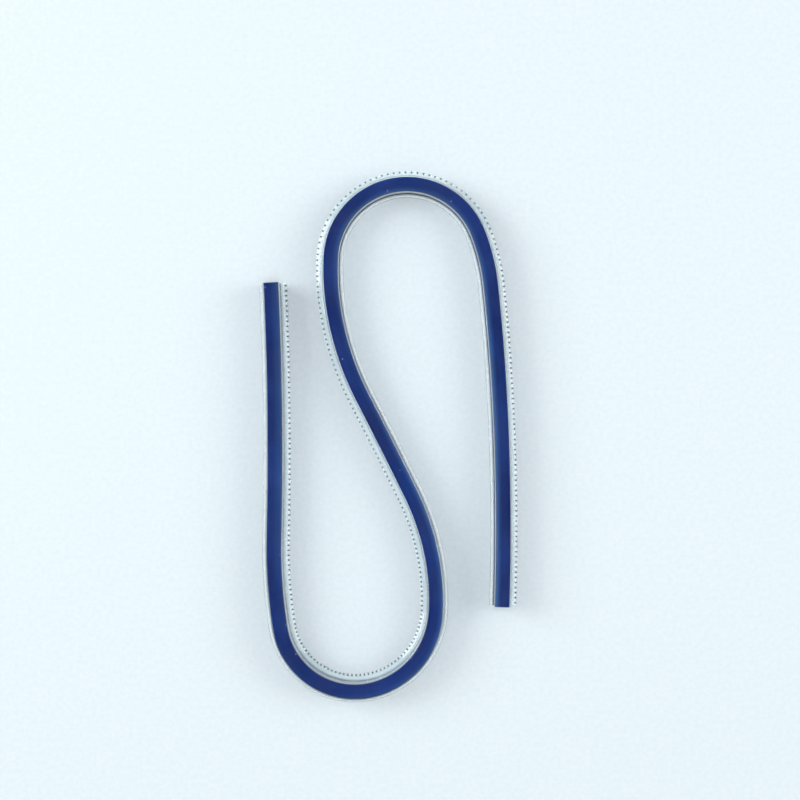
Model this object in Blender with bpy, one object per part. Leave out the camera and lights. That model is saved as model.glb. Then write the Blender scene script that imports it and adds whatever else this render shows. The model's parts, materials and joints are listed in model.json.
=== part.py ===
"""Flexible curve ruler: a lead-cored drawing curve with a pencil edge and an inking edge.

The ruler lies on its base, +Z up, in the double hairpin in which it is packed. Lengths are in
metres. A station is a distance along the core's centreline from end A. A section is drawn
in (u, z): u is the distance to the left of the centreline, seen from above and walking from
end A to end B, and z is the height above the paper. The pencil edge is at the left, the
inking edge at the right.

The real ruler bends anywhere. Here it is a chain of links, each with its own length of the
sleeve, the jacket, the lead core and the spring strip. Neighbouring links meet in a knuckle:
a round end in a hollow one, both about a vertical axis on the centreline.
"""

import bisect
import math
from functools import partial

import bmesh
import bpy
from mathutils import Vector

# The ruler as a whole
RULER_LENGTH = 0.400
START_HEADING_DEG = -87.3

# The bent shape: stretches as (share of the ruler's length, turn to the left in degrees)
BEND_SHARES = (
    (0.165, -4.0),
    (0.060, 10.5),
    (0.080, 93.5),
    (0.070, 74.5),
    (0.035, 13.0),
    (0.045, 16.0),
    (0.070, 1.0),
    (0.065, -19.5),
    (0.030, -10.5),
    (0.135, -155.5),
    (0.035, -15.5),
    (0.070, -3.0),
    (0.140, -5.0),
)

# The links: shares of the ruler's length, short where it is bent and long where it is straight
LINK_SHARES = (0.09, 0.09, 0.05, 0.05, 0.05, 0.05, 0.06, 0.10, 0.07, 0.05, 0.05, 0.05, 0.12, 0.12)
ROOT_LINK = 8

# The core: a lead bar with a spring-steel strip on edge beside it
LEAD_WIDTH = 0.0017
LEAD_HEIGHT = 0.0062
STRIP_THICKNESS = 0.00025
STRIP_INSET = 0.0001
LAMINATE_GAP = 0.00015

# The blue jacket round the core
JACKET_WALL = 0.00045
JACKET_CHAMFER = 0.0003
JACKET_GAP = 0.00015

# The clear sleeve round the jacket
SLEEVE_WALL = 0.0004
SLEEVE_WEB = 0.0006
SLEEVE_SHOULDER = 0.0004
PENCIL_LEDGE = 0.0006
PENCIL_BEVEL = 0.00115
PENCIL_ROOT = 0.0012
PENCIL_TIP = 0.0006
INKING_REACH = 0.00105
INKING_LIFT = 0.0020
INKING_THICKNESS = 0.0010

# The plugs that close the jacket at both ends
PLUG_LENGTH = 0.0030
PLUG_GAP = 0.00015

# The knuckles between the links
KNUCKLE_MARGIN = 0.00075
KNUCKLE_GAP = 0.0003

# How finely the faces follow the curves
MOST_TURN_PER_STEP_DEG = 7.5
LONGEST_STEP = 0.012
WIDEST_CELL = 0.0013
BISECTIONS = 40
SHARP_ANGLE_DEG = 30

# Sizes that follow
STRIP_HEIGHT = LEAD_HEIGHT - 2 * STRIP_INSET
BORE_WIDTH = LEAD_WIDTH + STRIP_THICKNESS + 3 * LAMINATE_GAP
BORE_HEIGHT = LEAD_HEIGHT + 2 * LAMINATE_GAP
JACKET_WIDTH = BORE_WIDTH + 2 * JACKET_WALL
JACKET_BASE = SLEEVE_WEB + JACKET_GAP
JACKET_TOP = JACKET_BASE + BORE_HEIGHT + 2 * JACKET_WALL
BORE_BASE = JACKET_BASE + JACKET_WALL
BORE_TOP = JACKET_TOP - JACKET_WALL
BORE_MIDDLE = (BORE_BASE + BORE_TOP) / 2
SOCKET_WIDTH = JACKET_WIDTH + 2 * JACKET_GAP
SLEEVE_WIDTH = SOCKET_WIDTH + 2 * SLEEVE_WALL
SLEEVE_HEIGHT = JACKET_TOP + JACKET_GAP + SLEEVE_WEB
PENCIL_EDGE = SLEEVE_WIDTH / 2 + PENCIL_LEDGE + PENCIL_BEVEL
INKING_EDGE = -SLEEVE_WIDTH / 2 - INKING_REACH
KNUCKLE_RADIUS = max(PENCIL_EDGE, -INKING_EDGE) + KNUCKLE_MARGIN
LINK_COUNT = len(LINK_SHARES)


def running_sums(values):
    """Zero and the running sums of values."""
    sums = [0.0]
    for value in values:
        sums.append(sums[-1] + value)
    return sums


STRETCH_ENDS = [RULER_LENGTH * share for share in running_sums(share for share, _ in BEND_SHARES)]
LINK_ENDS = [RULER_LENGTH * share for share in running_sums(LINK_SHARES)]


def advance(point, heading, length, turn):
    """Where an arc of this length and turn leads from a point and heading, in radians."""
    if turn == 0:
        return point + length * Vector((math.cos(heading), math.sin(heading))), heading
    radius = length / turn
    centre = point + radius * Vector((-math.sin(heading), math.cos(heading)))
    turned = heading + turn
    return centre + radius * Vector((math.sin(turned), -math.cos(turned))), turned


def stretch_starts():
    """The point and heading at the start of each stretch, with end A at the plan's zero."""
    point, heading = Vector((0.0, 0.0)), math.radians(START_HEADING_DEG)
    starts = []
    for share, turn in BEND_SHARES:
        starts.append((point, heading))
        point, heading = advance(point, heading, share * RULER_LENGTH, math.radians(turn))
    return starts


STRETCH_STARTS = stretch_starts()


def centreline(station):
    """The point and heading of the centreline at a station, with end A at the plan's zero."""
    index = min(bisect.bisect_right(STRETCH_ENDS, station) - 1, len(BEND_SHARES) - 1)
    share, turn = BEND_SHARES[index]
    along = (station - STRETCH_ENDS[index]) / (share * RULER_LENGTH)
    return advance(*STRETCH_STARTS[index], along * share * RULER_LENGTH, along * math.radians(turn))


def beside(station, u):
    """The plan point at a distance u to the left of the centreline."""
    point, heading = centreline(station)
    return point + u * Vector((-math.sin(heading), math.cos(heading)))


def knuckle_station(joint, u, radius):
    """The station past a joint's axis at which the line at u crosses a circle about that axis."""
    axis = beside(LINK_ENDS[joint], 0)
    near, far = LINK_ENDS[joint], LINK_ENDS[joint] + 2 * radius
    for _ in range(BISECTIONS):
        middle = (near + far) / 2
        if (beside(middle, u) - axis).length < radius:
            near = middle
        else:
            far = middle
    return (near + far) / 2


def link_start(link, u):
    """The station at which a link starts at u: square at end A, else the hollow of a knuckle."""
    if link == 1:
        return 0.0
    return knuckle_station(link - 1, u, KNUCKLE_RADIUS + KNUCKLE_GAP)


def link_end(link, u):
    """The station at which a link ends at u: square at end B, else the round of a knuckle."""
    if link == LINK_COUNT:
        return RULER_LENGTH
    return knuckle_station(link, u, KNUCKLE_RADIUS)


def steps_between(start, end):
    """How many straight steps follow the centreline from one station to another."""
    turn = 0.0
    for (share, degrees), low in zip(BEND_SHARES, STRETCH_ENDS):
        high = low + share * RULER_LENGTH
        shared = max(0.0, min(end, high) - max(start, low))
        turn += abs(degrees) * shared / (share * RULER_LENGTH)
    return max(2, math.ceil(turn / MOST_TURN_PER_STEP_DEG), math.ceil((end - start) / LONGEST_STEP))


def divided(low, high):
    """Values from low to high, no further apart than a cell may be wide."""
    count = max(1, math.ceil((high - low) / WIDEST_CELL))
    return [low + (high - low) * i / count for i in range(count)] + [high]


def columns(edges):
    """The edges in rising order with the wide gaps between them divided."""
    values = [edges[0]]
    for low, high in zip(edges, edges[1:]):
        values += divided(low, high)[1:]
    return values


def grid_cells(us, heights, filled):
    """The filled cells of a section as lists of (u, z) corners.

    heights(u) gives the rows' heights in a column, and filled(u, row) says whether the
    cell whose middle is at u has material in that row.
    """
    cells = []
    for left, right in zip(us, us[1:]):
        low, high = heights(left), heights(right)
        for row in range(len(low) - 1):
            if filled((left + right) / 2, row):
                corners = [(left, low[row]), (right, high[row])]
                corners += [(right, high[row + 1]), (left, low[row + 1])]
                cells.append(corners)
    return cells


def bar_cells(low, high, base, top):
    """The section of a plain bar."""
    return grid_cells(divided(low, high), lambda u: (base, top), lambda u, row: True)


def jacket_cells():
    """The section of the jacket: a tube with chamfered outer edges."""
    outer, inner = JACKET_WIDTH / 2, BORE_WIDTH / 2

    def heights(u):
        cut = JACKET_CHAMFER if abs(u) > inner else 0.0
        return (JACKET_BASE + cut, BORE_BASE, BORE_TOP, JACKET_TOP - cut)

    def filled(u, row):
        return abs(u) > inner or row != 1

    return grid_cells(columns([-outer, -inner, inner, outer]), heights, filled)


def sleeve_cells():
    """The section of the sleeve: a tube with a flange on each side.

    The pencil edge lies on the paper, with a flat ledge and then a bevel down to its tip.
    The inking edge is lifted clear of the paper, so that ink doesn't creep under it.
    """
    wall, socket = SLEEVE_WIDTH / 2, SOCKET_WIDTH / 2
    ledge = wall + PENCIL_LEDGE
    ink_top = INKING_LIFT + INKING_THICKNESS
    socket_top = SLEEVE_HEIGHT - SLEEVE_WEB

    def heights(u):
        if u > wall:
            top = PENCIL_ROOT + (PENCIL_TIP - PENCIL_ROOT) * max(0.0, u - ledge) / PENCIL_BEVEL
            return (0.0, top * SLEEVE_WEB / PENCIL_ROOT, top, INKING_LIFT, ink_top, socket_top, SLEEVE_HEIGHT)
        shoulder = SLEEVE_SHOULDER if abs(u) >= wall else 0.0
        top = SLEEVE_HEIGHT - shoulder
        return (0.0, SLEEVE_WEB, PENCIL_ROOT, INKING_LIFT, ink_top, socket_top, top)

    def filled(u, row):
        if u > wall:
            return row < 2
        if u < -wall:
            return row == 3
        return abs(u) > socket or row in (0, 5)

    return grid_cells(
        columns([INKING_EDGE, -wall, -socket, socket, wall, ledge, PENCIL_EDGE]), heights, filled
    )


def swept_mesh(name, cells, start, end, origin):
    """A closed mesh: a section swept from station start(u) to station end(u).

    The section's cells are extruded step by step. Each vertex carries its u and z along.
    """
    bm = bmesh.new()
    u_layer = bm.verts.layers.float.new("u")
    z_layer = bm.verts.layers.float.new("z")
    spans = {}
    made = {}
    for corner in dict.fromkeys(corner for cell in cells for corner in cell):
        u, z = corner
        vertex = bm.verts.new((*(beside(start(u), u) - origin), z))
        vertex[u_layer], vertex[z_layer] = u, z
        made[corner] = vertex
        spans[vertex[u_layer]] = (start(u), end(u), u)
    for cell in cells:
        bm.faces.new([made[corner] for corner in cell])
    front = [*bm.verts, *bm.edges, *bm.faces]
    steps = steps_between(start(0.0), end(0.0))
    for step in range(1, steps + 1):
        front = bmesh.ops.extrude_face_region(bm, geom=front)["geom"]
        for vertex in (item for item in front if isinstance(item, bmesh.types.BMVert)):
            first, last, u = spans[vertex[u_layer]]
            plan = beside(first + (last - first) * step / steps, u) - origin
            vertex.co = (*plan, vertex[z_layer])
    bmesh.ops.recalc_face_normals(bm, faces=bm.faces)
    mesh = bpy.data.meshes.new(name)
    bm.to_mesh(mesh)
    bm.free()
    mesh.shade_smooth()
    mesh.set_sharp_from_angle(angle=math.radians(SHARP_ANGLE_DEG))
    return mesh


def plan_middle():
    """The middle of the ruler's outline in plan, with end A at the plan's zero."""
    edges = []
    for link in range(1, LINK_COUNT + 1):
        for u in (INKING_EDGE, PENCIL_EDGE):
            first, last = link_start(link, u), link_end(link, u)
            steps = steps_between(link_start(link, 0.0), link_end(link, 0.0))
            edges += [beside(first + (last - first) * i / steps, u) for i in range(steps + 1)]
    xs = [edge.x for edge in edges]
    ys = [edge.y for edge in edges]
    return Vector(((min(xs) + max(xs)) / 2, (min(ys) + max(ys)) / 2))


def make_material(name, colour, roughness, metallic, transmission=0.0):
    """A plain surface of one colour."""
    material = bpy.data.materials.new(name)
    material.use_nodes = True
    shader = material.node_tree.nodes["Principled BSDF"]
    shader.inputs["Base Color"].default_value = (*colour, 1.0)
    shader.inputs["Roughness"].default_value = roughness
    shader.inputs["Metallic"].default_value = metallic
    shader.inputs["Transmission Weight"].default_value = transmission
    return material


def hinge_joint(link):
    """The joint that carries a link: the one on its side of the root link."""
    return link if link < ROOT_LINK else link - 1


def link_origin(link):
    """The plan point of a link's hinge axis, or of the root link's middle."""
    if link == ROOT_LINK:
        return beside((LINK_ENDS[link - 1] + LINK_ENDS[link]) / 2, 0)
    return beside(LINK_ENDS[hinge_joint(link)], 0)


def add_link_empties(middle):
    """An empty on each link's hinge axis, each carried by the next one towards the root link."""
    empties = {}
    order = sorted(range(1, LINK_COUNT + 1), key=lambda link: abs(link - ROOT_LINK))
    for link in order:
        empty = bpy.data.objects.new(f"link_{link:02d}", None)
        empty.empty_display_size = KNUCKLE_RADIUS
        bpy.context.collection.objects.link(empty)
        if link == ROOT_LINK:
            empty.location = (*(link_origin(link) - middle), 0)
        else:
            carrier = link + (1 if link < ROOT_LINK else -1)
            empty.parent = empties[carrier]
            empty.location = (*(link_origin(link) - link_origin(carrier)), 0)
        empties[link] = empty
    return empties


def add_piece(name, cells, span, link, empty, material):
    """One piece of one link, with its origin on the link's hinge axis."""
    mesh = swept_mesh(name, cells, *span, link_origin(link))
    mesh.materials.append(material)
    piece = bpy.data.objects.new(name, mesh)
    piece.parent = empty
    bpy.context.collection.objects.link(piece)
    return piece


def shell_span(link):
    """The stations between which a link's sleeve and jacket run."""
    return partial(link_start, link), partial(link_end, link)


def core_span(link):
    """The stations between which a link's core runs: it stops short of the end plugs."""
    inset = PLUG_LENGTH + PLUG_GAP

    def start(u):
        return inset if link == 1 else link_start(link, u)

    def end(u):
        return RULER_LENGTH - inset if link == LINK_COUNT else link_end(link, u)

    return start, end


def plug_span(start):
    """The stations between which an end plug runs."""
    return lambda u: start, lambda u: start + PLUG_LENGTH


def build():
    """Makes the whole ruler."""
    for stale in list(bpy.data.objects):
        bpy.data.objects.remove(stale, do_unlink=True)

    clear_pvc = make_material("clear_pvc", (0.86, 0.90, 0.92), 0.12, 0.0, 1.0)
    blue_pvc = make_material("blue_pvc", (0.018, 0.040, 0.190), 0.30, 0.0)
    dark_blue_pvc = make_material("dark_blue_pvc", (0.012, 0.022, 0.090), 0.45, 0.0)
    lead = make_material("lead", (0.22, 0.22, 0.24), 0.60, 1.0)
    spring_steel = make_material("spring_steel", (0.46, 0.47, 0.50), 0.28, 1.0)

    empties = add_link_empties(plan_middle())
    lead_right = -BORE_WIDTH / 2 + LAMINATE_GAP
    lead_left = lead_right + LEAD_WIDTH
    strip_right = lead_left + LAMINATE_GAP
    strip_left = strip_right + STRIP_THICKNESS
    lead_section = bar_cells(
        lead_right, lead_left, BORE_MIDDLE - LEAD_HEIGHT / 2, BORE_MIDDLE + LEAD_HEIGHT / 2
    )
    strip_section = bar_cells(
        strip_right, strip_left, BORE_MIDDLE - STRIP_HEIGHT / 2, BORE_MIDDLE + STRIP_HEIGHT / 2
    )

    for link in range(1, LINK_COUNT + 1):
        shell, core = shell_span(link), core_span(link)
        add_piece(f"clear_sleeve_{link:02d}", sleeve_cells(), shell, link, empties[link], clear_pvc)
        add_piece(f"blue_jacket_{link:02d}", jacket_cells(), shell, link, empties[link], blue_pvc)
        add_piece(f"lead_core_{link:02d}", lead_section, core, link, empties[link], lead)
        add_piece(f"spring_strip_{link:02d}", strip_section, core, link, empties[link], spring_steel)

    plug_section = bar_cells(
        -BORE_WIDTH / 2 + PLUG_GAP, BORE_WIDTH / 2 - PLUG_GAP, BORE_BASE + PLUG_GAP, BORE_TOP - PLUG_GAP
    )
    add_piece("end_plug_a", plug_section, plug_span(0), 1, empties[1], dark_blue_pvc)
    add_piece(
        "end_plug_b",
        plug_section,
        plug_span(RULER_LENGTH - PLUG_LENGTH),
        LINK_COUNT,
        empties[LINK_COUNT],
        dark_blue_pvc,
    )


build()
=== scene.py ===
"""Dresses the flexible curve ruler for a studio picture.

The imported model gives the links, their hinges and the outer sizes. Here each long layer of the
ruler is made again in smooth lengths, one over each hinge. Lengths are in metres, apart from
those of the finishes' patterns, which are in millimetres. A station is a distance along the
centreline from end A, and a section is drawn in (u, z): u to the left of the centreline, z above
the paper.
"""

import json
import logging
import math
from dataclasses import dataclass, field
from enum import Enum
from typing import Any, Iterable

import bmesh
import bpy
from mathutils import Matrix, Vector


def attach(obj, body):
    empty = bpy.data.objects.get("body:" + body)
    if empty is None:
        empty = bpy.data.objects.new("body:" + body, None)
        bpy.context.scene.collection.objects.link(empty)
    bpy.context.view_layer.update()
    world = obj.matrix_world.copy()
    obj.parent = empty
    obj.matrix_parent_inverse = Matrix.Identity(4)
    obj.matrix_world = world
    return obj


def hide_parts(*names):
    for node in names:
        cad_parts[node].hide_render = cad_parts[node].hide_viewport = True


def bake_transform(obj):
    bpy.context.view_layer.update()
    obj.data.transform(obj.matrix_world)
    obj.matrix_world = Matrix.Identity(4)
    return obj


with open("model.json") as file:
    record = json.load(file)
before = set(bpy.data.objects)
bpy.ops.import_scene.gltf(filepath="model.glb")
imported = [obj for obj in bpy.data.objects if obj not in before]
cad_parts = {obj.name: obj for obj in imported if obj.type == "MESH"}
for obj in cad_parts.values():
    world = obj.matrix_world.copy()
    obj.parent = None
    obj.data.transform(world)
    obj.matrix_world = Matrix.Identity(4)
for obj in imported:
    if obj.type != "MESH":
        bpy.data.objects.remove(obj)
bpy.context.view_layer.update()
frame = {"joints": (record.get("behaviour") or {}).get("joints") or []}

LOG = logging.getLogger("curve_ruler")
MM = 0.001
GRAIN = "grain"

Tree = bpy.types.NodeTree
Shader = bpy.types.Node
Socket = bpy.types.NodeSocket
Edges = list[bmesh.types.BMEdge]
Limits = tuple[float, float]


class Layer(Enum):
    """The long layers of the ruler, by the first part of their nodes' names."""

    SLEEVE = "clear_sleeve"
    JACKET = "blue_jacket"
    LEAD = "lead_core"
    STRIP = "spring_strip"


class RulerEnd(Enum):
    """The ruler's two ends, by the last letter of their plugs' names."""

    A = "a"
    B = "b"


class Lamp(Enum):
    """The studio's lamps."""

    LEFT = "left_softbox"
    RIGHT = "right_softbox"
    OVERHEAD = "overhead_fill"


class Operation(Enum):
    """What is done with two values, by the shader node's own words."""

    ADD = "ADD"
    MULTIPLY = "MULTIPLY"


class Way(Enum):
    """The directions of the ruler, by their part of a point's place on it."""

    ALONG = "X"
    ACROSS = "Y"
    UP = "Z"


def linear(hex_colour: str) -> tuple[float, float, float, float]:
    """Turns an sRGB hex colour into the linear colour that shaders take.

    The numbers are those that define sRGB.

    Args:
        hex_colour: Six hex digits after a hash sign.

    Returns:
        Red, green, blue and an alpha of one.
    """
    parts = [int(hex_colour[i : i + 2], 16) / 255 for i in (1, 3, 5)]
    red, green, blue = [c / 12.92 if c <= 0.04045 else ((c + 0.055) / 1.055) ** 2.4 for c in parts]
    return red, green, blue, 1.0


def add_node(
    tree: Tree,
    kind: str,
    settings: dict[str, Any] | None = None,
    inputs: dict[str | int, Any] | None = None,
) -> bpy.types.Node:
    """Adds a shader node with its settings, values and links.

    Args:
        tree: The material's node tree.
        kind: The node's type, such as ShaderNodeTexNoise.
        settings: The node's own properties.
        inputs: Each input's value, or the output socket that feeds it.

    Returns:
        The new node.
    """
    node = tree.nodes.new(kind)
    for name, value in (settings or {}).items():
        setattr(node, name, value)
    for name, value in (inputs or {}).items():
        if isinstance(value, Socket):
            tree.links.new(value, node.inputs[name])
        else:
            node.inputs[name].default_value = value
    return node


def add_ramp(tree: Tree, factor: Socket, stops: Iterable[tuple[float, str | float]]) -> Socket:
    """Colours a value by a ramp.

    Args:
        tree: The material's node tree.
        factor: The value to colour.
        stops: Places on the ramp from 0 to 1, each with its sRGB hex colour or its plain value.

    Returns:
        The ramp's colour output.
    """
    ramp = add_node(tree, "ShaderNodeValToRGB", inputs={"Fac": factor})
    elements = ramp.color_ramp.elements
    for index, (place, colour) in enumerate(stops):
        element = elements[index] if index < len(elements) else elements.new(place)
        element.position = place
        element.color = linear(colour) if isinstance(colour, str) else (colour, colour, colour, 1.0)
    return ramp.outputs["Color"]


def add_range(
    tree: Tree, value: Socket, before: Limits = (0.0, 1.0), after: Limits = (0.0, 1.0)
) -> Socket:
    """Carries a value over from one range to another, and keeps it within that.

    Args:
        tree: The material's node tree.
        value: The value.
        before: The ends of the range that it comes from.
        after: The ends of the range that it goes to.

    Returns:
        The value in its new range.
    """
    names = ("From Min", "From Max", "To Min", "To Max")
    inputs = {"Value": value, **dict(zip(names, (*before, *after)))}
    return add_node(tree, "ShaderNodeMapRange", inputs=inputs).outputs["Result"]


def add_math(tree: Tree, operation: Operation, first: Socket, second: Socket) -> Socket:
    """Makes one value of two.

    Args:
        tree: The material's node tree.
        operation: What is done with them.
        first: The one value.
        second: The other value.

    Returns:
        The result.
    """
    settings = {"operation": operation.value}
    return add_node(tree, "ShaderNodeMath", settings, {0: first, 1: second}).outputs[0]


def add_mix(tree: Tree, share: Socket, colour: Socket, other: str) -> Socket:
    """Mixes a colour with another.

    Args:
        tree: The material's node tree.
        share: The other colour's share.
        colour: The first colour.
        other: The other colour, in sRGB hex.

    Returns:
        The mixed colour.
    """
    inputs = {"Factor": share, "A": colour, "B": linear(other)}
    return add_node(tree, "ShaderNodeMix", {"data_type": "RGBA"}, inputs).outputs["Result"]


@dataclass(frozen=True)
class Pattern:
    """A cloudy pattern that runs with the ruler.

    It has its real size along the ruler and across it, in millimetres, and its detail, the
    number of finer layers in it.
    """

    along: float
    across: float
    detail: float


@dataclass(frozen=True)
class Relief:
    """How deep a pattern goes into a surface, in millimetres, and how strongly it shows."""

    depth: float
    share: float


@dataclass(frozen=True)
class Grade:
    """A value that goes by the place on the ruler.

    Each stop is a place in millimetres and the value there, and all stops lie within the limits.
    """

    way: Way
    limits: Limits
    stops: tuple[tuple[float, float], ...]


Band = tuple[Grade, Grade]


@dataclass(frozen=True)
class Finish:
    """A surface, started from what the real one is.

    The pattern's coordinates are each point's station, u and z in metres, kept on the mesh, so
    a pattern follows the ruler round its bends. In a finish, a turn is the values of a pattern
    between which one colour turns into the other, and a sheen is the parts of the roughness
    where a pattern is 0 and where it is 1.
    """

    name: str
    colour: str
    roughness: float
    ior: float = 1.5
    metallic: float = 0.0

    def surface(self) -> tuple[bpy.types.Material, Tree, Shader]:
        """Starts the material with its shader.

        Returns:
            The material, its node tree and its Principled BSDF.
        """
        material = bpy.data.materials.new(self.name)
        material.use_nodes = True
        tree = material.node_tree
        shader = tree.nodes["Principled BSDF"]
        shader.inputs["Base Color"].default_value = linear(self.colour)
        shader.inputs["Roughness"].default_value = self.roughness
        shader.inputs["Metallic"].default_value = self.metallic
        shader.inputs["IOR"].default_value = self.ior
        return material, tree, shader

    def place(self, tree: Tree) -> Socket:
        """Gives a point's place on the ruler."""
        return add_node(tree, "ShaderNodeAttribute", {"attribute_name": GRAIN}).outputs["Vector"]

    def along_the_ruler(self, tree: Tree, along: float, across: float) -> Socket:
        """Gives coordinates for a pattern that runs with the ruler.

        Args:
            tree: The material's node tree.
            along: The pattern's real size along the ruler, in millimetres.
            across: Its real size across the ruler and up it, in millimetres.

        Returns:
            The coordinates, one unit to each size.
        """
        scale = tuple(1 / (size * MM) for size in (along, across, across))
        inputs = {"Vector": self.place(tree), "Scale": scale}
        return add_node(tree, "ShaderNodeMapping", inputs=inputs).outputs["Vector"]

    def cloudy(self, tree: Tree, pattern: Pattern) -> Socket:
        """Makes a cloudy pattern.

        Args:
            tree: The material's node tree.
            pattern: Its size and detail.

        Returns:
            The pattern, from 0 to 1.
        """
        way = self.along_the_ruler(tree, pattern.along, pattern.across)
        inputs = {"Vector": way, "Scale": 1.0, "Detail": pattern.detail}
        return add_node(tree, "ShaderNodeTexNoise", inputs=inputs).outputs["Fac"]

    def roughen(self, tree: Tree, shader: Shader, pattern: Socket, sheen: Limits) -> None:
        """Varies how dull the surface is by a pattern.

        Args:
            tree: The material's node tree.
            shader: The material's shader.
            pattern: The pattern, from 0 to 1.
            sheen: The parts of the roughness where the pattern is 0 and where it is 1.
        """
        low, high = (self.roughness * part for part in sheen)
        tree.links.new(add_range(tree, pattern, after=(low, high)), shader.inputs["Roughness"])

    def emboss(self, tree: Tree, shader: Shader, pattern: Socket, relief: Relief) -> None:
        """Gives the surface a pattern's relief.

        Args:
            tree: The material's node tree.
            shader: The material's shader.
            pattern: The pattern, from 0 to 1.
            relief: The relief's depth and strength.
        """
        inputs = {"Height": pattern, "Distance": relief.depth * MM, "Strength": relief.share}
        bump = add_node(tree, "ShaderNodeBump", inputs=inputs)
        tree.links.new(bump.outputs["Normal"], shader.inputs["Normal"])

    def graded(self, tree: Tree, grade: Grade) -> Socket:
        """Reads a value off its stops.

        Args:
            tree: The material's node tree.
            grade: The direction that the value goes by, and its stops.

        Returns:
            The value.
        """
        parts = add_node(tree, "ShaderNodeSeparateXYZ", inputs={"Vector": self.place(tree)})
        low, high = grade.limits
        share = add_range(tree, parts.outputs[grade.way.value], (low * MM, high * MM))
        spread = [((stop - low) / (high - low), value) for stop, value in grade.stops]
        return add_ramp(tree, share, spread)

    def banded(self, tree: Tree, bands: Iterable[Band]) -> Socket:
        """Adds up bands.

        Args:
            tree: The material's node tree.
            bands: Each band's two grades, which are multiplied.

        Returns:
            The sum.
        """
        total = None
        for first, second in bands:
            grades = self.graded(tree, first), self.graded(tree, second)
            band = add_math(tree, Operation.MULTIPLY, *grades)
            total = band if total is None else add_math(tree, Operation.ADD, total, band)
        return total

    def build(self) -> bpy.types.Material:
        """Makes the material."""
        return self.surface()[0]


@dataclass(frozen=True)
class ClearVinyl(Finish):
    """Plasticised PVC, clear and extruded: glossy, with faint lines drawn along it by the die.

    From above, the eye looks down the whole height of the side walls. The milky bands are partly
    the slight cloudiness of PVC and partly painted light: pale lines along each side of the jacket,
    on the shoulders and on the edges stand in for light carried in the walls and for highlights.
    """

    lines: Pattern = Pattern(40.0, 0.22, 1.0)
    relief: Relief = Relief(0.02, 0.1)
    ripples: Pattern = Pattern(6.0, 6.0, 2.0)
    sheen: Limits = (0.5, 1.5)
    # Partly painted light: where the skin turns milky, as a share across the ruler times a share up
    # it.
    haze_and_painted_light: tuple[Band, ...] = (
        (
            Grade(
                Way.ACROSS,
                (-4.0, 4.0),
                ((-3.25, 0.15), (-3.05, 0.5), (-2.08, 0.5), (-1.95, 0.0)),
            ),
            Grade(
                Way.UP,
                (0.0, 9.0),
                ((0.0, 0.4), (3.05, 0.4), (3.15, 0.0), (8.5, 0.0), (8.75, 1.0)),
            ),
        ),
        (
            Grade(
                Way.ACROSS,
                (-4.0, 4.0),
                ((1.95, 0.0), (2.08, 0.5), (2.3, 0.45), (2.45, 0.0))
                + ((3.05, 0.0), (3.25, 0.5), (3.75, 0.5), (3.95, 0.2)),
            ),
            Grade(
                Way.UP,
                (0.0, 9.0),
                ((0.0, 0.4), (1.75, 0.4), (1.85, 0.0), (8.5, 0.0), (8.75, 1.0)),
            ),
        ),
    )

    def build(self) -> bpy.types.Material:
        """Makes the material.

        Returns:
            The material, which lets light through but for its milky bands on the edges and walls,
            partly painted light.
        """
        material, tree, shader = self.surface()
        # Where the bands are milky the skin shows its base colour, which is partly a painted
        # highlight.
        clearness = add_range(tree, self.banded(tree, self.haze_and_painted_light), after=(1.0, 0.0))
        tree.links.new(clearness, shader.inputs["Transmission Weight"])
        self.roughen(tree, shader, self.cloudy(tree, self.ripples), self.sheen)
        self.emboss(tree, shader, self.cloudy(tree, self.lines), self.relief)
        return material


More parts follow.
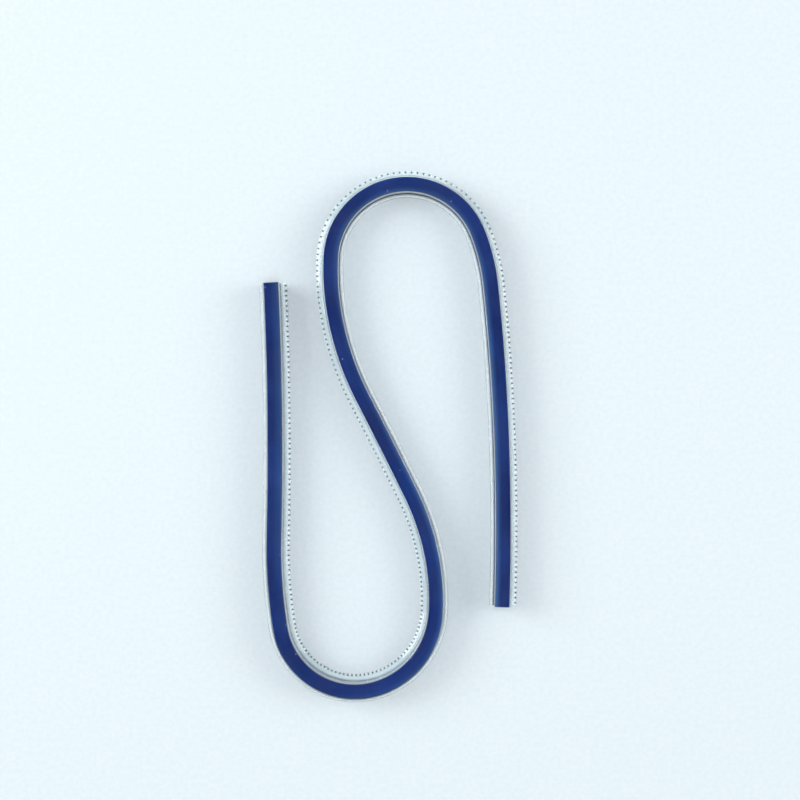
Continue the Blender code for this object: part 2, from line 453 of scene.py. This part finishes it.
@dataclass(frozen=True)
class BlueVinyl(Finish):
    """Pigmented PVC, extruded: an even dark blue with a slight silk and a few specks of dust.

    Its top is painted paler along one side: a painted sheen that stands in for light getting in
    through the clear wall.
    """

    light: str = "#092d70"
    clouds: Pattern = Pattern(15.0, 5.0, 5.0)
    turn: Limits = (0.35, 0.7)
    sheen: Limits = (0.8, 1.25)
    speck: str = "#7f93bf"
    speck_size: float = 0.9
    speck_scale: float = 0.25
    speck_rim: Limits = (0.03, 0.055)
    lines: Pattern = Pattern(30.0, 0.3, 1.0)
    relief: Relief = Relief(0.02, 0.3)
    # The colour of the painted sheen, which the next two fields place up, across and along the
    # ruler.
    pale: str = "#4f7cad"
    painted_sheen_top: Grade = Grade(Way.UP, (0.0, 9.0), ((7.2, 0.1), (8.1, 1.0)))
    painted_sheen_sides: tuple[Band, ...] = (
        (
            Grade(
                Way.ACROSS,
                (-2.0, 2.0),
                ((-1.8, 0.6), (-1.57, 0.38), (-1.31, 0.22))
                + ((-1.04, 0.13), (-0.78, 0.07), (-0.45, 0.0)),
            ),
            Grade(
                Way.ALONG,
                (0.0, 400.0),
                ((90.0, 0.0), (112.0, 0.2), (150.0, 0.8), (185.0, 0.9))
                + ((218.0, 0.3), (250.0, 0.6), (305.0, 0.7), (345.0, 1.05)),
            ),
        ),
        (
            Grade(
                Way.ACROSS,
                (-2.0, 2.0),
                ((-0.4, 0.0), (0.26, 0.055), (0.8, 0.105), (1.1, 0.13))
                + ((1.35, 0.16), (1.6, 0.25), (1.8, 0.4)),
            ),
            Grade(Way.ALONG, (0.0, 400.0), ((55.0, 1.0), (95.0, 0.0))),
        ),
    )

    def build(self) -> bpy.types.Material:
        """Makes the material.

        Returns:
            The material, clouded and silky, with its specks, its drawn lines and its painted sheen
            along one side.
        """
        material, tree, shader = self.surface()
        clouds = self.cloudy(tree, self.clouds)
        body = add_ramp(tree, clouds, zip(self.turn, (self.colour, self.light)))
        grid = self.along_the_ruler(tree, self.speck_size, self.speck_size)
        inputs = {"Vector": grid, "Scale": self.speck_scale}
        dust = add_node(tree, "ShaderNodeTexVoronoi", inputs=inputs).outputs["Distance"]
        specks = add_ramp(tree, dust, zip(self.speck_rim, (1.0, 0.0)))
        dusty = add_mix(tree, specks, body, self.speck)
        # The painted sheen: the top is mixed paler along one side, as if lit through the clear
        # wall.
        sides, top = self.banded(tree, self.painted_sheen_sides), self.graded(tree, self.painted_sheen_top)
        painted_sheen_share = add_math(tree, Operation.MULTIPLY, sides, top)
        tree.links.new(add_mix(tree, painted_sheen_share, dusty, self.pale), shader.inputs["Base Color"])
        self.roughen(tree, shader, clouds, self.sheen)
        self.emboss(tree, shader, self.cloudy(tree, self.lines), self.relief)
        return material


@dataclass(frozen=True)
class PlugVinyl(Finish):
    """Moulded PVC with a trimmed face: duller and darker than the jacket round it."""

    scuff: str = "#26366b"
    grit: Pattern = Pattern(0.35, 0.35, 4.0)
    turn: Limits = (0.4, 0.8)
    relief: Relief = Relief(0.03, 0.5)

    def build(self) -> bpy.types.Material:
        """Makes the material.

        Returns:
            The material, scuffed and gritty.
        """
        material, tree, shader = self.surface()
        grit = self.cloudy(tree, self.grit)
        colour = add_ramp(tree, grit, zip(self.turn, (self.colour, self.scuff)))
        tree.links.new(colour, shader.inputs["Base Color"])
        self.emboss(tree, shader, grit, self.relief)
        return material


@dataclass(frozen=True)
class BareMetal(Finish):
    """A metal bar as it comes from the rolls: streaked along its length and mottled by the air."""

    tarnish: str = "#5c5c60"
    blotches: Pattern = Pattern(3.0, 3.0, 3.0)
    turn: Limits = (0.3, 0.7)
    streaks: Pattern = Pattern(20.0, 0.25, 2.0)
    sheen: Limits = (0.7, 1.3)
    relief: Relief = Relief(0.01, 0.4)

    def build(self) -> bpy.types.Material:
        """Makes the material.

        Returns:
            The material, mottled and streaked.
        """
        material, tree, shader = self.surface()
        blotches = self.cloudy(tree, self.blotches)
        colour = add_ramp(tree, blotches, zip(self.turn, (self.colour, self.tarnish)))
        tree.links.new(colour, shader.inputs["Base Color"])
        streaks = self.cloudy(tree, self.streaks)
        self.roughen(tree, shader, streaks, self.sheen)
        self.emboss(tree, shader, streaks, self.relief)
        return material


@dataclass(frozen=True)
class TickInk(Finish):
    """Printing ink on PVC: matt and dark, thinner here and there."""

    thin: str = "#3c434c"
    patches: Pattern = Pattern(0.8, 0.8, 2.0)
    turn: Limits = (0.45, 0.7)

    def build(self) -> bpy.types.Material:
        """Makes the material.

        Returns:
            The material, patchy.
        """
        material, tree, shader = self.surface()
        patches = self.cloudy(tree, self.patches)
        colour = add_ramp(tree, patches, zip(self.turn, (self.colour, self.thin)))
        tree.links.new(colour, shader.inputs["Base Color"])
        return material


@dataclass(frozen=True)
class StudioPaper(Finish):
    """Matt background paper, with a faint tooth whose size is in millimetres."""

    shade: str = "#d5e0e5"
    tooth: float = 1.2
    detail: float = 3.0
    turn: Limits = (0.3, 0.7)
    relief: Relief = Relief(0.02, 0.2)

    def build(self) -> bpy.types.Material:
        """Makes the material.

        Returns:
            The material, shaded and raised by its tooth.
        """
        material, tree, shader = self.surface()
        place = add_node(tree, "ShaderNodeTexCoord").outputs["Object"]
        inputs = {"Vector": place, "Scale": 1 / (self.tooth * MM), "Detail": self.detail}
        tooth = add_node(tree, "ShaderNodeTexNoise", inputs=inputs).outputs["Fac"]
        colour = add_ramp(tree, tooth, zip(self.turn, (self.shade, self.colour)))
        tree.links.new(colour, shader.inputs["Base Color"])
        self.emboss(tree, shader, tooth, self.relief)
        return material


@dataclass(frozen=True)
class Arc:
    """One stretch of the centreline with an even bend: its turn and heading are in radians."""

    start: float
    length: float
    turn: float
    point: Vector
    heading: float

    def at(self, along: float) -> tuple[Vector, float]:
        """Goes along the arc.

        Args:
            along: The distance from the arc's start.

        Returns:
            The point there and the heading in radians.
        """
        turned = self.heading + self.turn * along / self.length
        radius = self.length / self.turn
        centre = self.point + radius * Vector((-math.sin(self.heading), math.cos(self.heading)))
        return centre + radius * Vector((math.sin(turned), -math.cos(turned))), turned


@dataclass
class Centreline:
    """The curve that the ruler's core follows from end A to end B.

    Each bend is a share of the ruler's length and the degrees that it turns to the left.
    """

    length: float = 0.400
    start_heading_deg: float = -87.3
    bend_shares: tuple[tuple[float, float], ...] = (
        (0.165, -4.0),
        (0.060, 10.5),
        (0.080, 93.5),
        (0.070, 74.5),
        (0.035, 13.0),
        (0.045, 16.0),
        (0.070, 1.0),
        (0.065, -19.5),
        (0.030, -10.5),
        (0.135, -155.5),
        (0.035, -15.5),
        (0.070, -3.0),
        (0.140, -5.0),
    )
    arcs: list[Arc] = field(default_factory=list)
    shift: Vector = field(default_factory=lambda: Vector((0.0, 0.0)))

    def __post_init__(self) -> None:
        """Lays the arcs end to end."""
        station, point, heading = 0.0, Vector((0.0, 0.0)), math.radians(self.start_heading_deg)
        for share, turn in self.bend_shares:
            arc = Arc(station, share * self.length, math.radians(turn), point, heading)
            self.arcs.append(arc)
            point, heading = arc.at(arc.length)
            station += arc.length

    def pass_through(self, station: float, point: Vector) -> None:
        """Moves the curve so that a station of it lies at a point of the plan.

        Args:
            station: The station.
            point: Where it has to lie.
        """
        self.shift = self.shift + point.xy - self.at(station)[0]

    def at(self, station: float) -> tuple[Vector, float]:
        """Finds a station.

        Args:
            station: The distance from end A.

        Returns:
            The point of the plan there and the heading in radians.
        """
        arc = max((a for a in self.arcs if a.start <= station), key=lambda a: a.start)
        point, heading = arc.at(station - arc.start)
        return point + self.shift, heading

    def place(self, station: float) -> Matrix:
        """Gives the transform that stands a section up at a station.

        Args:
            station: The distance from end A.

        Returns:
            The transform from (forward, u, z) to the model's axes.
        """
        point, heading = self.at(station)
        return Matrix.Translation(point.to_3d()) @ Matrix.Rotation(heading, 4, "Z")


@dataclass(frozen=True)
class Span:
    """The length of the ruler over one hinge, from the middle of one link to that of the next.

    Its start, its hinge and its end are stations.
    """

    joint: str
    bodies: tuple[str, str]
    links: tuple[int, int]
    start: float
    hinge: float
    end: float
    at_end_a: bool
    at_end_b: bool


@dataclass
class Chain:
    """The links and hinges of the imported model, set out along the centreline.

    The reaches are how far a section goes to each side of the centreline. The zone share is how
    much of the room between a length's two ends its bend takes up.
    """

    line: Centreline
    link_shares: tuple[float, ...] = (
        0.09, 0.09, 0.05, 0.05, 0.05, 0.05, 0.06, 0.10, 0.07, 0.05, 0.05, 0.05, 0.12, 0.12,
    )
    reach_left: float = 3.95 * MM
    reach_right: float = 3.25 * MM
    zone_share: float = 0.97
    ends: list[float] = field(default_factory=list)

    def __post_init__(self) -> None:
        """Finds the links' ends and lays the centreline through the first hinge."""
        total = 0.0
        self.ends.append(total)
        for share in self.link_shares:
            total += share
            self.ends.append(total * self.line.length)
        first = next(j for j in frame["joints"] if j["name"] == self.joint_name(1))
        self.line.pass_through(self.ends[1], Vector(first["pos_m"]))

    @staticmethod
    def joint_name(number: int) -> str:
        """Names a hinge."""
        return f"bend_{number:02d}"

    @staticmethod
    def body_name(link: int) -> str:
        """Names a link's body."""
        return f"link_{link:02d}"

    def middle(self, link: int) -> float:
        """Finds the middle of a link."""
        return (self.ends[link - 1] + self.ends[link]) / 2

    def spans(self) -> list[Span]:
        """Cuts the ruler into its lengths, one over each hinge.

        Returns:
            The lengths from end A to end B. The first and the last run to the ruler's ends.
        """
        count = len(self.link_shares)
        made = []
        for number in range(1, count):
            at_a, at_b = number == 1, number == count - 1
            made.append(
                Span(
                    joint=self.joint_name(number),
                    bodies=(self.body_name(number), self.body_name(number + 1)),
                    links=(number, number + 1),
                    start=0.0 if at_a else self.middle(number),
                    hinge=self.ends[number],
                    end=self.line.length if at_b else self.middle(number + 1),
                    at_end_a=at_a,
                    at_end_b=at_b,
                )
            )
        return made

    def bend(self, piece: bpy.types.Object, span: Span) -> None:
        """Bakes a piece's place into its mesh.

        Args:
            piece: The piece, finished.
            span: The length of the ruler that it covers.
        """
        axis, heading = self.line.at(span.hinge)
        for station in (self.middle(span.links[0]), self.middle(span.links[1])):
            for u in (self.reach_left, -self.reach_right):
                corner = (self.line.place(station) @ Vector((0.0, u, 0.0))).xy
        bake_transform(piece)


@dataclass(frozen=True)
class Corner:
    """A corner of a section, with the radius it is rounded to."""

    u: float
    z: float
    radius: float = 0.0


def rectangle(right: float, left: float, low: float, high: float, radius: float) -> list[Corner]:
    """Draws a rectangular section.

    Args:
        right: The u of its right side.
        left: The u of its left side.
        low: The z of its foot.
        high: The z of its top.
        radius: The radius of its corners.

    Returns:
        The four corners.
    """
    return [
        Corner(right, low, radius),
        Corner(left, low, radius),
        Corner(left, high, radius),
        Corner(right, high, radius),
    ]


@dataclass
class LayerMaker:
    """What every long layer of the ruler shares: how its section is drawn, swept and dressed.

    The sections of a sweep stand a step apart at most. The brace is how far past a rounding the
    point stands that keeps the flat beside it flat.
    """

    chain: Chain
    finish: Finish
    slot: str
    step: float = 1.0 * MM
    least_steps: int = 2
    brace: float = 0.05 * MM
    round_segments: int = 3
    round_profile: float = 0.5
    sharp_angle_deg: float = 40.0

    def stations(self, start: float, end: float) -> list[float]:
        """Divides a length into even steps.

        Args:
            start: The first station.
            end: The last station.

        Returns:
            The stations from start to end.
        """
        count = max(self.least_steps, math.ceil((end - start) / self.step))
        return [start + (end - start) * i / count for i in range(count + 1)]

    def braced(self, corners: Iterable[Corner]) -> list[Corner]:
        """Adds a point just past each rounding, so that the flats between them shade flat.

        Args:
            corners: The section's corners in order.

        Returns:
            The corners and the added points, in order.
        """
        corners = list(corners)
        made = []
        for here, after in zip(corners, corners[1:] + corners[:1]):
            made.append(here)
            way = Vector((after.u - here.u, after.z - here.z))
            near, far = here.radius + self.brace, way.length - after.radius - self.brace
            if far - near > self.brace:
                for along in (near, far):
                    point = Vector((here.u, here.z)) + way * along / way.length
                    made.append(Corner(point.x, point.y))
        return made

    def draw(self, mesh: bmesh.types.BMesh, corners: Iterable[Corner], station: float) -> Edges:
        """Draws a section's outline, rounds its corners and stands it up at a station.

        Args:
            mesh: The mesh to draw in.
            corners: The section's corners in order.
            station: Where the section stands.

        Returns:
            The outline's edges, in order.
        """
        corners = self.braced(corners)
        verts = [mesh.verts.new((0.0, corner.u, corner.z)) for corner in corners]
        before = set(mesh.verts) - set(verts)
        mesh.faces.new(verts)
        for radius in sorted({corner.radius for corner in corners if corner.radius}):
            bmesh.ops.bevel(
                mesh,
                geom=[vert for vert, corner in zip(verts, corners) if corner.radius == radius],
                offset=radius,
                offset_type="OFFSET",
                segments=self.round_segments,
                profile=self.round_profile,
                affect="VERTICES",
                clamp_overlap=True,
                material=-1,
            )
        # The bevel numbers its points anew in each run, so the outline is traced again in order.
        rounded = [vert for vert in mesh.verts if vert not in before]
        (face,) = {face for vert in rounded for face in vert.link_faces}
        points = [vert.co.copy() for vert in face.verts]
        first = min(range(len(points)), key=lambda index: (points[index].z, points[index].y))
        bmesh.ops.delete(mesh, geom=rounded, context="VERTS")
        drawn = [mesh.verts.new(point) for point in points[first:] + points[:first]]
        edges = [mesh.edges.new(pair) for pair in zip(drawn, drawn[1:] + drawn[:1])]
        grain = mesh.verts.layers.float_vector[GRAIN]
        for vert in drawn:
            vert[grain] = (station, vert.co.y, vert.co.z)
        bmesh.ops.transform(mesh, matrix=self.chain.line.place(station), verts=drawn)
        return edges

    def sweep(self, mesh: bmesh.types.BMesh, edges: Edges, stations: list[float]) -> Edges:
        """Sweeps an outline along the centreline, a row of faces for each step.

        Args:
            mesh: The mesh that holds the outline.
            edges: The outline's edges in order, at the first station.
            stations: The stations to stop at.

        Returns:
            The outline's edges at the last station.
        """
        grain = mesh.verts.layers.float_vector[GRAIN]
        ring = [edge.verts[0] for edge in edges]
        for before, after in zip(stations, stations[1:]):
            move = self.chain.line.place(after) @ self.chain.line.place(before).inverted()
            row = [mesh.verts.new(move @ vert.co) for vert in ring]
            for vert, old in zip(row, ring):
                vert[grain] = (after, old[grain][1], old[grain][2])
            for index, vert in enumerate(row):
                mesh.faces.new((ring[index - 1], ring[index], vert, row[index - 1]))
            ring = row
        return [mesh.edges.get(pair) for pair in zip(ring, ring[1:] + ring[:1])]

    def finished(self, mesh: bmesh.types.BMesh, name: str) -> bpy.types.Object:
        """Turns a mesh into a piece with its finish.

        Args:
            mesh: The mesh, which is used up.
            name: The piece's name.

        Returns:
            The piece, at the origin.
        """
        bmesh.ops.recalc_face_normals(mesh, faces=mesh.faces)
        data = bpy.data.meshes.new(name)
        mesh.to_mesh(data)
        mesh.free()
        data.shade_smooth()
        data.set_sharp_from_angle(angle=math.radians(self.sharp_angle_deg))
        data.materials.append(self.material())
        piece = bpy.data.objects.new(name, data)
        bpy.context.scene.collection.objects.link(piece)
        return piece

    def material(self) -> bpy.types.Material:
        """Gives the finish's material, made once."""
        return bpy.data.materials.get(self.finish.name) or self.finish.build()

    def start_mesh(self) -> bmesh.types.BMesh:
        """Starts a mesh that can hold each point's place on the ruler.

        Returns:
            The mesh, empty.
        """
        mesh = bmesh.new()
        mesh.verts.layers.float_vector.new(GRAIN)
        return mesh

    def solid(
        self, corners: Iterable[Corner], start: float, end: float, name: str
    ) -> bpy.types.Object:
        """Makes a piece that is a bar, closed at both ends.

        Args:
            corners: Its section's corners in order.
            start: Its first station.
            end: Its last station.
            name: The piece's name.

        Returns:
            The piece.
        """
        mesh = self.start_mesh()
        first = self.draw(mesh, corners, start)
        last = self.sweep(mesh, first, self.stations(start, end))
        for edges in (first, last):
            bmesh.ops.contextual_create(mesh, geom=edges)
        return self.finished(mesh, name)


@dataclass
class BlueJacket(LayerMaker):
    """The blue tube round the core.

    It fills the sleeve's bore. The solids leave a thin gap there, so that they don't touch.
    """

    width: float = 3.6 * MM
    wall: float = 0.6 * MM
    base: float = 0.6 * MM
    top: float = 8.3 * MM
    edge_radius: float = 0.45 * MM
    bore_radius: float = 0.15 * MM

    def outline(self, inset: float, radius: float) -> list[Corner]:
        """Draws the tube's outer or inner outline.

        Args:
            inset: How far the outline lies inside the tube's outer faces.
            radius: The radius of its corners.

        Returns:
            The four corners.
        """
        u = self.width / 2 - inset
        return rectangle(-u, u, self.base + inset, self.top - inset, radius)

    def make(self, span: Span) -> bpy.types.Object:
        """Makes the jacket over one hinge.

        Args:
            span: The length of the ruler that it covers.

        Returns:
            The piece.
        """
        mesh = self.start_mesh()
        stations = self.stations(span.start, span.end)
        outer = self.draw(mesh, self.outline(0.0, self.edge_radius), span.start)
        inner = self.draw(mesh, self.outline(self.wall, self.bore_radius), span.start)
        ends = self.sweep(mesh, outer, stations), self.sweep(mesh, inner, stations)
        bmesh.ops.bridge_loops(mesh, edges=[*outer, *inner])
        bmesh.ops.bridge_loops(mesh, edges=[*ends[0], *ends[1]])
        return self.finished(mesh, f"jacket_{span.joint}")


@dataclass
class ClearSleeve(LayerMaker):
    """The clear extrusion round the jacket, with its pencil edge and its inking edge.

    Only its outer skin is made, and the jacket lies inside it with nothing between, as in a
    sleeve that is extruded on. The skin is open where one length runs on into the next.
    """

    jacket: BlueJacket | None = None
    width: float = 4.4 * MM
    height: float = 8.9 * MM
    shoulder_radius: float = 0.22 * MM
    pencil_ledge: float = 0.6 * MM
    pencil_bevel: float = 1.15 * MM
    pencil_root: float = 1.2 * MM
    pencil_tip: float = 0.6 * MM
    inking_reach: float = 1.05 * MM
    inking_lift: float = 2.0 * MM
    inking_thickness: float = 1.0 * MM
    pencil_fillet: float = 0.5 * MM
    inking_fillet: float = 0.3 * MM
    ridge_radius: float = 0.12 * MM
    tip_radius: float = 0.18 * MM

    def outline(self) -> list[Corner]:
        """Draws the sleeve's outer outline, from the foot of the inking side round by the left.

        Returns:
            The corners.
        """
        wall = self.width / 2
        ledge = wall + self.pencil_ledge
        tip = ledge + self.pencil_bevel
        ink = -wall - self.inking_reach
        ink_top = self.inking_lift + self.inking_thickness
        return [
            Corner(-wall, 0.0, self.tip_radius),
            Corner(tip, 0.0, self.tip_radius),
            Corner(tip, self.pencil_tip, self.tip_radius),
            Corner(ledge, self.pencil_root, self.ridge_radius),
            Corner(wall, self.pencil_root, self.pencil_fillet),
            Corner(wall, self.height, self.shoulder_radius),
            Corner(-wall, self.height, self.shoulder_radius),
            Corner(-wall, ink_top, self.inking_fillet),
            Corner(ink, ink_top, self.tip_radius),
            Corner(ink, self.inking_lift, self.tip_radius),
            Corner(-wall, self.inking_lift, self.inking_fillet),
        ]

    def close_end(self, mesh: bmesh.types.BMesh, edges: Edges, station: float) -> None:
        """Closes a free end with a face that leaves the jacket's outline open.

        Args:
            mesh: The sleeve's mesh.
            edges: The skin's edges at the end.
            station: The end's station.
        """
        hole = self.draw(mesh, self.jacket.outline(0.0, self.jacket.edge_radius), station)
        bmesh.ops.triangle_fill(mesh, use_beauty=True, edges=[*edges, *hole])

    def make(self, span: Span) -> bpy.types.Object:
        """Makes the sleeve over one hinge.

        Args:
            span: The length of the ruler that it covers.

        Returns:
            The piece.
        """
        mesh = self.start_mesh()
        first = self.draw(mesh, self.outline(), span.start)
        last = self.sweep(mesh, first, self.stations(span.start, span.end))
        if span.at_end_a:
            self.close_end(mesh, first, span.start)
        if span.at_end_b:
            self.close_end(mesh, last, span.end)
        sleeve = self.finished(mesh, f"sleeve_{span.joint}")
        # Clear PVC lets the lamps through. With a shadow it would darken all that it covers.
        sleeve.visible_shadow = False
        return sleeve


@dataclass
class CoreBar(LayerMaker):
    """A bar of the core: the lead or the spring strip, with the four sides of its section."""

    label: str = "bar"
    right: float = 0.0
    left: float = 0.0
    base: float = 0.0
    top: float = 0.0
    radius: float = 0.0
    end_gap: float = 3.15 * MM

    def make(self, span: Span) -> bpy.types.Object:
        """Makes the bar over one hinge.

        Args:
            span: The length of the ruler that it covers.

        Returns:
            The piece.
        """
        start = span.start + (self.end_gap if span.at_end_a else 0.0)
        end = span.end - (self.end_gap if span.at_end_b else 0.0)
        corners = rectangle(self.right, self.left, self.base, self.top, self.radius)
        return self.solid(corners, start, end, f"{self.label}_{span.joint}")


@dataclass
class TickRow(LayerMaker):
    """The printed ticks near the tip of the pencil edge, all alike.

    The inset is how far a tick's middle lies from the tip, the reach is its length across the
    ruler, and the stroke is its width along it.
    """

    pitch: float = 4 / 3 * MM
    inset: float = 0.38 * MM
    reach: float = 0.5 * MM
    stroke: float = 0.36 * MM
    thickness: float = 0.03 * MM
    sleeve: ClearSleeve | None = None

    def make(self, span: Span) -> bpy.types.Object:
        """Prints the ticks over one hinge.

        Args:
            span: The length of the ruler that they cover.

        Returns:
            The piece.
        """
        mesh = self.start_mesh()
        grain = mesh.verts.layers.float_vector[GRAIN]
        sleeve = self.sleeve
        slope = math.atan2(sleeve.pencil_root - sleeve.pencil_tip, sleeve.pencil_bevel)
        tip = sleeve.width / 2 + sleeve.pencil_ledge + sleeve.pencil_bevel
        u = tip - self.inset
        z = sleeve.pencil_tip + self.inset * math.tan(slope)
        shape = Matrix.Diagonal((self.stroke, self.reach, self.thickness, 1.0))
        lie = Matrix.Translation((0.0, u, z)) @ Matrix.Rotation(-slope, 4, "X") @ shape
        for number in range(round(self.chain.line.length / self.pitch)):
            station = (number + 0.5) * self.pitch
            if span.start <= station < span.end:
                place = self.chain.line.place(station)
                made = bmesh.ops.create_cube(mesh, size=1.0, matrix=place @ lie)["verts"]
                for vert in made:
                    vert[grain] = (station, u, z)
        return self.finished(mesh, f"ticks_{span.joint}")


@dataclass
class EndPlug(LayerMaker):
    """The plug that closes the jacket at one end."""

    end: RulerEnd = RulerEnd.A
    length: float = 3.0 * MM
    gap: float = 0.1 * MM
    radius: float = 0.2 * MM
    jacket: BlueJacket | None = None

    def make(self) -> bpy.types.Object:
        """Makes the plug.

        Returns:
            The piece.
        """
        corners = self.jacket.outline(self.jacket.wall + self.gap, self.radius)
        start = 0.0 if self.end is RulerEnd.A else self.chain.line.length - self.length
        return self.solid(corners, start, start + self.length, f"plug_{self.end.value}")


@dataclass(frozen=True)
class Softbox:
    """A square lamp that faces the ruler: where it hangs, its side's length and its watts."""

    lamp: Lamp
    place: tuple[float, float, float]
    side: float
    watts: float


@dataclass
class Studio:
    """The pale floor, the soft lamps and the camera over the ruler.

    The image's width is what it shows at the focus height, and the pixel is where end A lies in
    it. The heights are the steps of the room's light, from the walls up to the hole for the
    lens, as the upward part of a direction.
    """

    image_side: int = 800
    image_width: float = 0.2089
    camera_height: float = 0.72
    focus_height: float = 0.0045
    sensor: float = 36.0
    clip_start: float = 0.01
    end_a_pixel: tuple[float, float] = (271.3, 283.1)
    floor_side: float = 6.0
    floor_drop: float = 0.02 * MM
    ceiling_strength: float = 1.1
    lens_hole: str = "#202122"
    ceiling: str = "#f8fbfd"
    walls: str = "#7d8082"
    heights: tuple[float, float, float, float] = (0.78, 0.87, 0.955, 0.972)
    softboxes: tuple[Softbox, ...] = (
        Softbox(Lamp.LEFT, (-0.7, 0.2, 0.5), 0.5, 4.0),
        Softbox(Lamp.RIGHT, (0.7, 0.1, 0.5), 0.5, 2.6),
        Softbox(Lamp.OVERHEAD, (0.0, 0.0, 1.3), 0.6, 6.5),
    )

    def add_floor(self, finish: Finish) -> None:
        """Lays the floor.

        Args:
            finish: The floor's finish.
        """
        mesh = bmesh.new()
        bmesh.ops.create_grid(mesh, x_segments=1, y_segments=1, size=self.floor_side / 2)
        bmesh.ops.translate(mesh, vec=(0.0, 0.0, -self.floor_drop), verts=mesh.verts)
        data = bpy.data.meshes.new("studio_floor")
        mesh.to_mesh(data)
        mesh.free()
        data.materials.append(finish.build())
        floor = bpy.data.objects.new("studio_floor", data)
        bpy.context.scene.collection.objects.link(floor)

    def add_lamps(self) -> None:
        """Hangs the softboxes.

        The overhead fill hangs where the lens is, so it leaves no glare on the ruler's top.
        """
        for box in self.softboxes:
            light = bpy.data.lights.new(box.lamp.value, "AREA")
            light.shape = "SQUARE"
            light.size = box.side
            light.energy = box.watts
            hung = bpy.data.objects.new(box.lamp.value, light)
            hung.location = box.place
            hung.rotation_euler = (-Vector(box.place)).to_track_quat("-Z", "Y").to_euler()
            hung.visible_glossy = box.lamp is not Lamp.OVERHEAD
            bpy.context.scene.collection.objects.link(hung)

    def add_camera(self, end_a: Vector) -> None:
        """Sets the camera straight above the middle of the picture.

        Args:
            end_a: The plan point of the centreline at end A.
        """
        scale = self.image_width / self.image_side
        across = (self.image_side / 2 - self.end_a_pixel[0]) * scale
        down = (self.image_side / 2 - self.end_a_pixel[1]) * scale
        data = bpy.data.cameras.new("camera")
        data.sensor_width = self.sensor
        data.lens = self.sensor * (self.camera_height - self.focus_height) / self.image_width
        data.clip_start = self.clip_start
        camera = bpy.data.objects.new("camera", data)
        camera.location = (end_a.x + across, end_a.y - down, self.camera_height)
        bpy.context.scene.collection.objects.link(camera)
        bpy.context.scene.camera = camera

    def light_world(self) -> None:
        """Fills the room with light from a pale ceiling, which has a dark hole for the lens."""
        world = bpy.data.worlds.new("studio")
        world.use_nodes = True
        tree = world.node_tree
        way = add_node(tree, "ShaderNodeTexCoord").outputs["Generated"]
        height = add_node(tree, "ShaderNodeSeparateXYZ", inputs={"Vector": way}).outputs["Z"]
        stops = zip(self.heights, (self.walls, self.ceiling, self.ceiling, self.lens_hole))
        background = tree.nodes["Background"]
        background.inputs["Strength"].default_value = self.ceiling_strength
        tree.links.new(add_ramp(tree, height, stops), background.inputs["Color"])
        bpy.context.scene.world = world
        bpy.context.scene.view_settings.view_transform = "Standard"


def replace_nodes(layer: Layer, span: Span) -> None:
    """Hides the imported nodes of a layer over one hinge.

    Args:
        layer: The layer that it belongs to.
        span: The length of the ruler that it covers.
    """
    links = span.links if span.at_end_b else span.links[:1]
    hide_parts(*(f"{layer.value}_{link:02d}" for link in links))


def report(piece: bpy.types.Object) -> None:
    """Logs a piece that is made."""
    LOG.info("%s: %d faces", piece.name, len(piece.data.polygons))


def main() -> None:
    """Sets up the studio, then builds the ruler length by length and reports each piece."""
    line = Centreline()
    chain = Chain(line)
    studio = Studio()
    studio.add_camera(line.at(0.0)[0])
    studio.light_world()
    # An even, pale, matt ground, against which the blue and the clear edges stand out.
    studio.add_floor(StudioPaper("studio_paper", "#dbe5e9", 0.9))
    studio.add_lamps()

    # A wet gloss over the blue, and milky bands, partly painted light, along the walls and edges.
    clear = ClearVinyl("clear_soft_pvc", "#ebf3f4", 0.06, ior=1.53)
    # The ruler's deep blue, with hardly a reflection of its own under the clear skin, and a painted
    # sheen along one side of its top.
    blue = BlueVinyl("blue_soft_pvc", "#041f59", 0.32, ior=1.02)
    # A soft grey bar with no shine, seen only when the ruler is taken apart.
    rolled_lead = BareMetal("rolled_lead", "#7c7c82", 0.6, metallic=1.0)
    # A brighter, finely drawn ribbon of steel beside it.
    spring_steel = BareMetal(
        "blued_spring_steel",
        "#b3b5ba",
        0.28,
        metallic=1.0,
        tarnish="#8d9098",
        streaks=Pattern(20.0, 0.12, 2.0),
    )
    # Small dark strokes, which give the pencil edge its rhythm.
    ink = TickInk("tick_ink", "#252b32", 0.6)
    # A dull, nearly black end, darker than the blue round it.
    moulded = PlugVinyl("moulded_plug_pvc", "#141d45", 0.5, ior=1.53)

    jacket = BlueJacket(chain, blue, "blue_pvc")
    sleeve = ClearSleeve(chain, clear, "clear_pvc", jacket=jacket)
    lead = CoreBar(
        chain,
        rolled_lead,
        "lead",
        label="lead",
        right=-1.05 * MM,
        left=0.65 * MM,
        base=1.35 * MM,
        top=7.55 * MM,
        radius=0.2 * MM,
    )
    strip = CoreBar(
        chain,
        spring_steel,
        "spring_steel",
        label="strip",
        right=0.8 * MM,
        left=1.05 * MM,
        base=1.45 * MM,
        top=7.45 * MM,
    )
    ticks = TickRow(chain, ink, "clear_pvc", sleeve=sleeve)
    layers = (
        (Layer.SLEEVE, sleeve),
        (Layer.JACKET, jacket),
        (Layer.LEAD, lead),
        (Layer.STRIP, strip),
    )
    for span in chain.spans():
        for layer, maker in layers:
            piece = maker.make(span)
            chain.bend(piece, span)
            replace_nodes(layer, span)
            report(piece)
        printed = ticks.make(span)
        chain.bend(printed, span)
        report(printed)

    last_link = len(chain.link_shares)
    ends = ((RulerEnd.A, chain.body_name(1)), (RulerEnd.B, chain.body_name(last_link)))
    for end, body in ends:
        plug = EndPlug(chain, moulded, "dark_blue_pvc", end=end, jacket=jacket).make()
        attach(plug, body)
        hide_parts(f"end_plug_{end.value}")
        report(plug)


if __name__ == "__main__":
    logging.basicConfig(level=logging.INFO)
    main()
